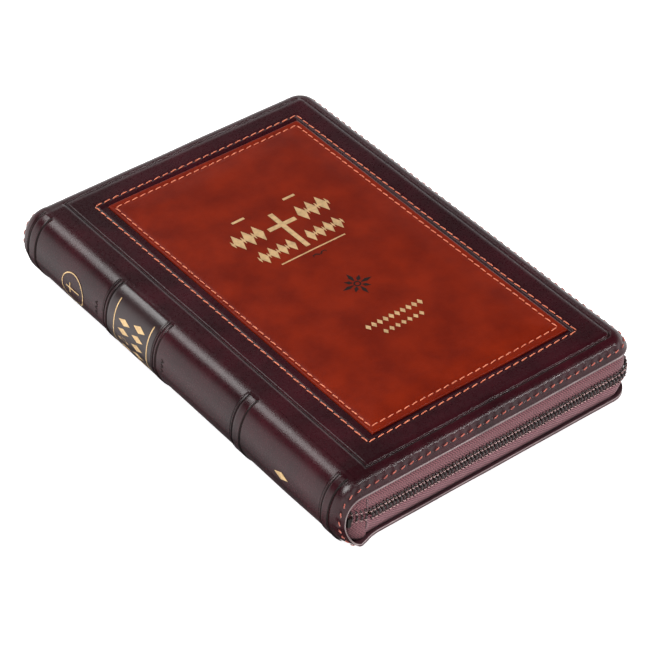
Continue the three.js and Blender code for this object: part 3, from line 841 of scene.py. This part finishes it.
def spine_end_frames():
    """Origins and directions of the stitches round the two ends of the spine."""
    frames = []
    angles = np.linspace(math.pi / 2, SPINE_SEAM + 0.05, 400)
    drop, back_drop = float(front_fall(RIM_SEAM)), float(back_fall(RIM_SEAM))
    plain_x, _ = spine_point(angles, drop, back_drop, 0)
    x, z = spine_point(angles, drop, back_dip(back_drop, plain_x), 0.12)
    lengths = np.concatenate([[0], np.cumsum(np.hypot(np.diff(x), np.diff(z)))])
    before = rim_place(SPINE_CENTRE) % RIM_PITCH
    for length in np.arange((1.5 * RIM_PITCH - before) % RIM_PITCH, lengths[-1], RIM_PITCH):
        spots = (length, length + 0.3)
        here = np.interp(spots, lengths, x), np.interp(spots, lengths, z)
        direction = np.array([here[0][1] - here[0][0], 0.0, here[1][1] - here[1][0]])
        direction /= np.linalg.norm(direction)
        normal = np.array([direction[2], 0.0, -direction[0]])
        normal = normal if normal[0] < 0 else -normal
        for side in (-1, 1):
            facing = normal * 0.75 + np.array([0.0, side * 0.66, 0.0])
            facing /= np.linalg.norm(facing)
            frames.append(((here[0][0], side * (HALF_HEIGHT - RIM_SEAM), here[1][0]), direction, facing))
    return zip(*frames)


def all_stitches():
    """Every visible seam."""
    rectangle_seam(
        "outer_stitches", OUTER_SEAM, lambda x, y: THICK + cover_relief(x, y) + 0.1,
        OUTER_PITCH, OUTER_STITCH, "burgundy_leather",
    )
    rectangle_seam(
        "inner_stitches", INNER_SEAM, lambda x, y: panel_height(x, y) + 0.08,
        INNER_PITCH, INNER_STITCH, "tan_leather",
    )
    # The rim seams take the darker copy of the coral thread, which is painted shade.
    look = ("burgundy_leather", RIM_STITCH, RIM_SLANT, CORAL_PAINTED_SHADE)
    rim = sew("front_rim_stitches", *rim_frames(True), None, *look)
    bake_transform(rim)
    rim = sew("back_rim_stitches", *rim_frames(False), None, *look)
    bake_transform(rim)
    sew("spine_end_stitches", *spine_end_frames(), "spine", *look)


# --- Tooling ---

def stroke(points, widths, steps=10, closed=False):
    """A flat ribbon along a line of 2D points, as 2D points and faces."""
    points = np.asarray(points, dtype=float)
    widths = np.broadcast_to(np.asarray(widths, dtype=float), (len(points),)).copy()
    if closed:
        points = np.vstack([points, points[:1]])
        widths = np.append(widths, widths[0])
    share = np.arange(len(points))
    fine = np.linspace(0, len(points) - 1, (len(points) - 1) * steps + 1)
    line = np.stack([np.interp(fine, share, points[:, i]) for i in (0, 1)], axis=1)
    wide = np.interp(fine, share, widths)
    along = np.gradient(line, axis=0)
    if closed:
        along[0] = along[-1] = along[0] + along[-1]
    along = unit(along)
    side = np.stack([-along[:, 1], along[:, 0]], axis=1) * wide[:, None] / 2
    rows = np.stack([line + side, line, line - side], axis=1)
    return rows.reshape(-1, 2), grid_faces(len(line), 3)


def circle(x, y, radius):
    angle = np.arange(32) * 2 * math.pi / 32
    return np.stack([x + radius * np.cos(angle), y + radius * np.sin(angle)], axis=1)


def lozenge(x, y, wide, high):
    """A filled lozenge, drawn as a stroke that swells and narrows."""
    return stroke([(x, y - high / 2), (x, y), (x, y + high / 2)], (TIP, wide, TIP), 6)


def tooling(name, strokes, mapping, material, body):
    """Strokes laid on a surface, joined as one piece."""
    points = []
    faces = []
    first = 0
    for flat, quads in strokes:
        points.append(np.array([mapping(a, b) for a, b in flat]))
        faces.append(quads + first)
        first += len(flat)
    thing = make_object(name, np.concatenate(points), np.concatenate(faces), [material])
    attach(thing, body)


def on_panel(x, y):
    return x, y, float(panel_height(x, y)) + 0.05


def on_cover(x, y):
    """A point on the front cover, just clear of the leather."""
    fall = float(front_fall(min(HALF_HEIGHT - abs(y), FORE_X - x)))
    return x, y, THICK - fall + float(cover_relief(np.array(x), np.array(y))) + 0.06


def on_spine(y, z):
    """A point on the spine at a height, just clear of the leather."""
    share = min(abs(z - MIDDLE) / MIDDLE, 0.999)
    power = SPINE_FULL if z > MIDDLE else SPINE_FLAT
    angle = math.copysign(math.asin(share ** (1 / power)), z - MIDDLE)
    relief = float(band_relief(np.array(float(y)))) + 0.12
    x, height = spine_point(np.array(angle), 0.0, 0.0, relief)
    return float(x), y, float(height)


def cover_gold():
    """Two rows of lozenges, a plain cross and three rules, with two rows of small lozenges lower down."""
    middle = 6.4
    strokes = [
        stroke([(-9.9, 46), (-3.6, 46)], 1.3),
        stroke([(16.6, 46), (22.6, 46)], 1.3),
        stroke([(-9.6, 12.4), (23, 12.4)], 0.7),
        stroke([(middle, 15.5), (middle, 41.5)], 2.3),
        stroke([(middle - 7, 33.2), (middle + 7, 33.2)], 2.3),
    ]
    for side in (-1, 1):
        for step in range(3):
            strokes.append(lozenge(middle + side * (11.2 + 5.2 * step), 34.2, 4.4, 11.2))
            strokes.append(lozenge(middle + side * (13.8 + 5.2 * step), 34.2, 1.2, 5.0))
        for step in range(4):
            strokes.append(lozenge(middle + side * (5.0 + 4.6 * step), 20.2, 3.7, 8.8))
            strokes.append(lozenge(middle + side * (7.3 + 4.6 * step), 20.2, 1.0, 4.0))
    for step in range(10):
        strokes.append(lozenge(-6.4 + 26.3 * step / 9, -39.4, 2.3, 3.6))
    for step in range(7):
        strokes.append(lozenge(-2.2 + 18.2 * step / 6, -45.3, 2.2, 3.0))
    tooling("cover_gold_tooling", strokes, on_panel, GOLD, "front_cover")


def cover_blind_tooling():
    """Dark pressed marks: a rosette of eight petals and a small flourish."""
    centre = (7.1, -15.6)
    strokes = [stroke(circle(*centre, 1.3), 0.7, 2, closed=True)]
    for petal in range(8):
        angle = petal * math.pi / 4
        reach = 7.4 if petal % 2 == 0 else 5.6
        way = np.array([math.cos(angle), math.sin(angle)])
        strokes.append(stroke([centre + r * way for r in (2, reach * 0.6, reach)], (0.3, 1.9, 0.05), 6))
    for side in (-1, 1):
        curl = [(6.9 + side * a, 8.9 + b) for a, b in ((0.2, -0.8), (1.6, 0.4), (3.0, 0.2), (3.3, -0.9))]
        strokes.append(stroke(curl, (0.7, 0.6, 0.5, 0.2), 4))
    tooling("cover_blind_tooling", strokes, on_panel, BLIND, "front_cover")


def groove_line():
    """Dark line along the bottom of the groove pressed round the front cover."""
    low, high, end, corner = GROOVE["x0"], GROOVE["x1"], GROOVE["y"], GROOVE["corner"]
    angles = [math.radians(angle) for angle in range(0, 91, 15)]
    turn = [(high - corner + corner * math.cos(a), end - corner + corner * math.sin(a)) for a in angles]
    lines = [
        [(low, y) for y in np.linspace(-end, end, 60)],
        [(high, y) for y in np.linspace(corner - end, end - corner, 60)],
    ]
    for side in (-1, 1):
        lines.append([(x, side * end) for x in np.linspace(low, high - corner, 40)])
        lines.append([(x, side * y) for x, y in turn])
    strokes = [stroke(line, GROOVE_LINE, 2) for line in lines]
    tooling("cover_groove_line", strokes, on_cover, BLIND, "front_cover")


def spine_gold():
    """Gold on the spine: a ring with a plain cross, two rules with lozenges, and a lozenge at the tail."""
    strokes = [
        stroke(circle(67.2, 18.5, 7.4), 0.5, 2, closed=True),
        stroke([(62.6, 18.5), (71.6, 18.5)], 0.65),
        stroke([(69.0, 16.0), (69.0, 21.0)], 0.65),
    ]
    for y in (37.5, 14.9):
        strokes.append(stroke([(y, 5.5), (y, 12), (y, 20), (y, 27), (y, 31.5)], 0.6))
    for place, count in ((30.8, 4), (21.4, 5)):
        for step in range(count):
            height = 18.4 + 4.3 * (step - (count - 1) / 2)
            ends = [(place - 3.8, height), (place, height), (place + 3.8, height)]
            strokes.append(stroke(ends, (TIP, 2.9, TIP), 6))
    strokes.append(stroke([(-77.2, 19.6), (-73, 19.6), (-68.8, 19.6)], (TIP, 3.4, TIP), 6))
    tooling("spine_gold_tooling", strokes, on_spine, GOLD, "spine")


def spine_blind_tooling():
    """Dark pressed lines of the bands, and flourishes just outside the label."""
    strokes = []
    heights = (33.8, 33.0, 31.5, 29.0, 25.5, 21.0, 16.0, 11.0, 6.5, 3.0)
    for lines in BANDS.values():
        strokes += [stroke([(line, height) for height in heights], BAND_STROKE, 3) for line in lines]
    for y, way in ((49.4, 1), (5.2, -1)):
        for height in (18.2, 20.5, 22.8):
            strokes.append(stroke([(y, height - 0.8), (y + way * 1.4, height), (y, height + 0.8)], 0.55, 4))
    tooling("spine_blind_tooling", strokes, on_spine, BLIND, "spine")


# --- Zip ---

def zip_route(inset, step=1.2):
    """Points, directions and lengths along the rim from the tail, round the fore-edge to the head."""
    half = HALF_HEIGHT - CORNER_R + (CORNER_R - inset) * math.pi / 2 + FORE_X - CORNER_R - TAPE_START
    lengths = np.linspace(0, 2 * half, int(2 * half / step))
    places, normals = zip(*(rim_spot(length - half, inset) for length in lengths))
    return np.array(places), np.array(normals), lengths


def zip_tape(upper):
    """One half of the zip's tape, from the seam to its edge beside the teeth."""
    route = np.array([*TAPE_ROUTE, (TAPE_INSET, MIDDLE - TAPE_EDGE)])
    share = np.linspace(0, len(route) - 1, 22)
    line = np.stack([np.interp(share, np.arange(len(route)), route[:, i]) for i in (0, 1)], axis=1)
    along = unit(np.gradient(line, axis=0))
    side = np.stack([-along[:, 1], along[:, 0]], axis=1) * TAPE / 2
    section = np.vstack([line + side, (line - side)[::-1]])
    across = np.concatenate([[0], np.cumsum(np.linalg.norm(np.diff(section, axis=0), axis=1))])
    places, normals, lengths = zip_route(0.0)
    points = np.zeros((len(lengths), len(section), 3))
    for i, (inset, depth) in enumerate(section):
        points[:, i, :2] = places - inset * normals
        points[:, i, 2] = THICK - depth if upper else depth
    uv = np.stack(np.meshgrid(lengths, across, indexing="ij"), axis=-1).reshape(-1, 2)
    size = len(section)
    faces = list(grid_faces(len(lengths), size, close_columns=True))
    faces.append(range(size))
    faces.append(range((len(lengths) - 1) * size, len(lengths) * size)[::-1])
    side_name, weave = ("front", UPPER_TAPE) if upper else ("back", LOWER_TAPE)
    tape = make_object(f"{side_name}_woven_tape", points.reshape(-1, 3), faces, [weave], uv=uv)
    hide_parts(f"{side_name}_zip_tape")
    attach(tape, f"{side_name}_cover")


def coil_part(path, radii, sides, sign):
    """A tube of the chain on one side of its middle."""
    return tube(np.array(path) * (1, sign, 1), radii, sides)


def chain_pieces(name, frames, sign, body, replaced):
    """The turns of one side of the coil with their pale sewing, which is partly a painted highlight for the
    coil's glints.
    """
    places, normals, start = frames
    origins = np.column_stack([places, np.full(len(places), MIDDLE)])
    out = np.column_stack([normals, np.zeros(len(normals))])
    along = np.column_stack([-normals[:, 1], normals[:, 0], np.zeros(len(normals))])
    up = np.tile((0.0, 0.0, 1.0), (len(places), 1))
    origins = origins + out * start
    coil_points, coil_faces = place_copies(*coil_part(*COIL_TURN, sign), origins, along, up, out)
    glint_points, glint_faces = place_copies(*coil_part(*COIL_SEWING_GLINT, sign), origins, along, up, out)
    first = len(coil_points)
    faces = coil_faces + [[i + first for i in face] for face in glint_faces]
    marks = [0] * len(coil_faces) + [1] * len(glint_faces)
    chain = make_object(name, np.vstack([coil_points, glint_points]), faces, [COIL, PALE_THREAD_GLINT], face_material=marks)
    if replaced:
        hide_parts(replaced)
    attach(chain, body)


def zip_chain():
    """Both sides of the closed chain. The turns of one side lie between those of the other."""
    places, normals, lengths = zip_route(TAPE_INSET, step=0.2)
    for sign, body in ((1, "front_cover"), (-1, "back_cover")):
        at = np.arange(TOOTH_PITCH / 2 * (1 if sign > 0 else 2), lengths[-1], TOOTH_PITCH)
        index = np.searchsorted(lengths, at)
        keep = (places[index, 1] < HALF_HEIGHT - CORNER_R) | (places[index, 0] > SLIDER_BACK + 8)
        frames = (places[index][keep], normals[index][keep], TAPE / 2)
        side = "front" if sign > 0 else "back"
        chain_pieces(f"{side}_coil_turns", frames, sign, body, f"{side}_zip_coil")


def end_curve(share, side):
    """Where the end of the zip runs as it turns into the hollow of the spine."""
    return np.stack([-60.4 - 9.6 * share, side * (106.2 - 4.2 * share ** 1.5)], axis=1)


def tail_of_zip():
    """The end of the chain, which turns into the hollow of the spine at the tail."""
    places = end_curve(np.linspace(0.12, 1, 6), -1)
    along = unit(np.gradient(places, axis=0))
    normals = np.stack([-along[:, 1], along[:, 0]], axis=1)
    normals[normals[:, 1] > 0] *= -1
    for sign in (1, -1):
        name = "tail_coil_upper" if sign > 0 else "tail_coil_lower"
        chain_pieces(name, (places, normals, 0.1), sign, "spine", "zip_tail_coil" if sign > 0 else None)


def end_gusset(side):
    """Tape that closes the hollow of the spine behind the end of the zip."""
    x, y = end_curve(np.linspace(0, 1, 24), side).T
    rows = np.linspace(-1, 1, 30)[:, None]
    power = np.where(rows > 0, SPINE_FULL, SPINE_FLAT)
    reach = np.clip((SPINE_CENTRE - x) / (SPINE_DEEP - 2.2), 0, 0.98)
    high = (MIDDLE - 3.6) * np.sqrt(1 - reach ** (2 / power)) ** power
    flat = grid_points(x, y - side * 1.2 * rows ** 2, MIDDLE + rows * high).reshape(-1, 3)
    uv = np.stack([flat[:, 0], flat[:, 2]], axis=1)
    name = "tail_end_tape" if side < 0 else "head_end_tape"
    tape = make_object(name, flat, grid_faces(len(rows), len(x)), [UPPER_TAPE], uv=uv)
    thick = tape.modifiers.new("thickness", "SOLIDIFY")
    thick.thickness = 0.5 * MM
    if side < 0:
        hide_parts("zip_tail_tape")
    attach(tape, "spine")


# --- Other pieces ---

def dress_nodes():
    """Gives each CAD node that stays its finished material."""
    bands = [f"band_{place}" for place in BANDS]
    finishes = (
        (PAGES, ["text_block", "first_section"]),
        (ENDPAPER, ["flyleaf", "back_endpaper"]),
        (MULL, ["spine_cloth"]),
        (HEADBAND, ["head_band", "tail_band"]),
        (LINING, ["front_lining", "back_lining"]),
        (BOARD, ["front_board", "back_board", "spine_stiffener", *bands]),
        (GUNMETAL, ["zip_tail_stop", "front_zip_stop", "back_zip_stop", "zip_slider", "zip_pull"]),
    )
    for material, names in finishes:
        for name in names:
            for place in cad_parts[name].material_slots:
                place.material = material
    for name in ("zip_slider", "zip_pull"):
        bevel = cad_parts[name].modifiers.new("soft_edges", "BEVEL")
        bevel.width = 0.2 * MM
        bevel.segments = 2


def foam_pads():
    """The foam under each cover, crowned towards its middle."""
    for side in ("front", "back"):
        low, high = (np.array(corner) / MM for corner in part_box(f"{side}_pad"))
        x = np.linspace(low[0], high[0], 40)
        y = np.linspace(low[1], high[1], 60)
        grid_x, grid_y = np.meshgrid(x, y)
        edge = np.minimum.reduce([grid_x - low[0], high[0] - grid_x, grid_y - low[1], high[1] - grid_y])
        full = (high[2] - low[2]) * (0.35 + 0.65 * smooth_step(edge / 5))
        base = low[2] if side == "front" else high[2]
        way = 1 if side == "front" else -1
        near = grid_points(grid_x, grid_y, base).reshape(-1, 3)
        far = grid_points(grid_x, grid_y, base + way * full).reshape(-1, 3)
        sheet = grid_faces(len(y), len(x))
        border = grid_border(len(y), len(x))
        faces = [*sheet, *(sheet[:, ::-1] + len(near))]
        for i, corner in enumerate(border):
            after = border[(i + 1) % len(border)]
            faces.append((corner, after, after + len(near), corner + len(near)))
        pad = make_object(f"{side}_foam", np.vstack([near, far]), faces, [MULL], merge=True)
        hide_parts(f"{side}_pad")
        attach(pad, f"{side}_cover")


# --- Studio ---

def camera():
    """The camera, at the viewing angle of a product photograph from the spine's tail corner."""
    right = Vector(CAMERA_RIGHT).normalized()
    back = -Vector(CAMERA_AHEAD).normalized()
    data = bpy.data.cameras.new("camera")
    data.lens = CAMERA_LENS
    data.sensor_width = 36.0
    thing = bpy.data.objects.new("camera", data)
    turn = Matrix((right, back.cross(right), back)).transposed().to_4x4()
    thing.matrix_world = Matrix.Translation(Vector(CAMERA_PLACE)) @ turn
    bpy.context.scene.collection.objects.link(thing)
    bpy.context.scene.camera = thing


def area_light(name, place, target, size, power):
    data = bpy.data.lights.new(name, "AREA")
    data.shape = "RECTANGLE"
    data.size = size
    data.size_y = size
    data.energy = power
    thing = bpy.data.objects.new(name, data)
    thing.location = place
    thing.rotation_euler = (Vector(target) - Vector(place)).to_track_quat("-Z", "Y").to_euler()
    bpy.context.scene.collection.objects.link(thing)


def studio():
    """White floor, a world that is bright near the horizon and dark above and below, and soft lights."""
    n = Nodes("white_floor")
    n.set(Base_Color=n.ramp(n.noise(3.0), (0.4, grey(0.93)), (0.6, grey(0.95))), Roughness=0.9)
    n.set(Emission_Color=(1, 1, 1, 1), Emission_Strength=FLOOR_GLOW)
    bpy.ops.mesh.primitive_plane_add(size=8, location=(0, 0, -0.0004))
    floor = bpy.context.object
    floor.name = "floor"
    floor.visible_glossy = False
    floor.data.materials.append(n.owner)

    n = Nodes("studio", "worlds", "Background")
    height = n.add("ShaderNodeSeparateXYZ", {"Vector": n.add("ShaderNodeTexCoord").outputs["Generated"]})
    share = n.add("ShaderNodeMath", {0: height.outputs[2], 1: 0.5, 2: 0.5}, operation="MULTIPLY_ADD")
    levels = [(place, grey(level)) for place, level in WORLD_LEVELS]
    n.set(Color=n.ramp(share.outputs[0], *levels), Strength=WORLD_STRENGTH)
    bpy.context.scene.world = n.owner

    for light in LIGHTS:
        area_light(*light)
    bpy.context.scene.view_settings.view_transform = "Standard"


camera()
front_skin()
back_skin()
tan_panel()
all_stitches()
cover_gold()
cover_blind_tooling()
groove_line()
spine_gold()
spine_blind_tooling()
zip_tape(True)
zip_tape(False)
zip_chain()
tail_of_zip()
end_gusset(-1)
end_gusset(1)
foam_pads()
dress_nodes()
studio()
